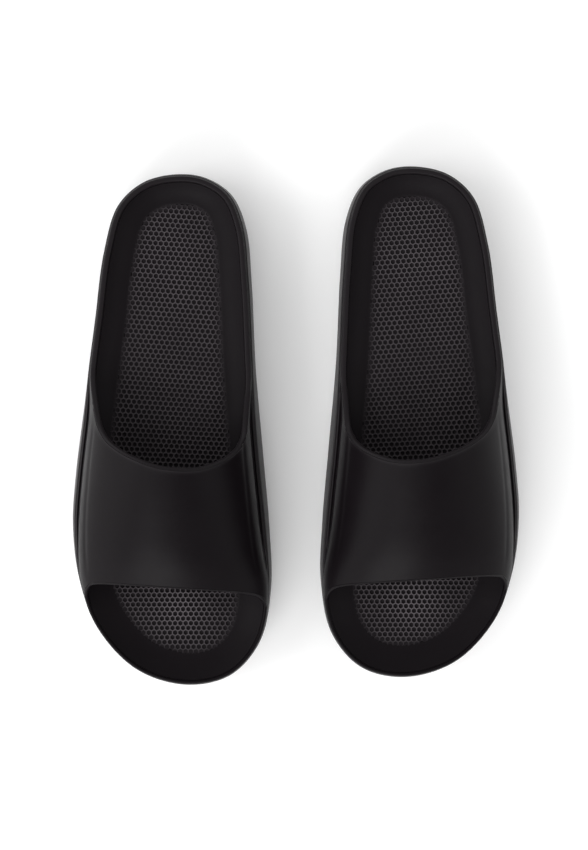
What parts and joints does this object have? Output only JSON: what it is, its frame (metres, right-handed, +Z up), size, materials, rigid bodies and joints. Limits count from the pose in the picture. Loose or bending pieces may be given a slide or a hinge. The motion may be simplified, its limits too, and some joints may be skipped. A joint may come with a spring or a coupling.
{
  "type": "slide sandals",
  "caption": "Pair of moulded foam slide sandals with a wide closed strap, a dished honeycomb footbed, a bulging midsole and a lugged rubber outsole.",
  "frame": {"origin": "centre of the pair's footprint, on the ground", "axes": "+Z up, -Y towards the toes, +X towards the left slide"},
  "size_m": [0.255, 0.2942, 0.082],
  "materials": {
    "upper_foam": "satin moulded closed-cell foam",
    "footbed_foam": "matte moulded closed-cell foam with a honeycomb patch",
    "midsole_foam": "satin moulded closed-cell foam",
    "outsole_rubber": "matte solid rubber"
  },
  "bodies": {
    "right_slide": {"right_upper": "upper_foam", "right_footbed": "footbed_foam", "right_midsole": "midsole_foam", "right_rear_outsole": "outsole_rubber"},
    "right_forefoot": {"right_front_outsole": "outsole_rubber"},
    "left_slide": {"left_upper": "upper_foam", "left_footbed": "footbed_foam", "left_midsole": "midsole_foam", "left_rear_outsole": "outsole_rubber"},
    "left_forefoot": {"left_front_outsole": "outsole_rubber"}
  },
  "joints": [
    {"name": "left_lift", "type": "slide", "parent": "right_slide", "child": "left_slide", "axis": [0, 0, 1], "range_m": [0, 0.12]},
    {"name": "right_flex", "type": "hinge", "parent": "right_slide", "child": "right_forefoot", "pos_m": [-0.072, -0.0486, 0.012], "axis": [-0.9613, 0.2756, 0], "range_deg": [0, 25], "stiffness_Nm_per_rad": 4, "deforming": ["right_midsole", "right_footbed", "right_upper"]},
    {"name": "left_flex", "type": "hinge", "parent": "left_slide", "child": "left_forefoot", "pos_m": [0.072, -0.0442, 0.012], "axis": [-0.9613, -0.2756, 0], "range_deg": [0, 25], "stiffness_Nm_per_rad": 4, "deforming": ["left_midsole", "left_footbed", "left_upper"]}
  ]
}
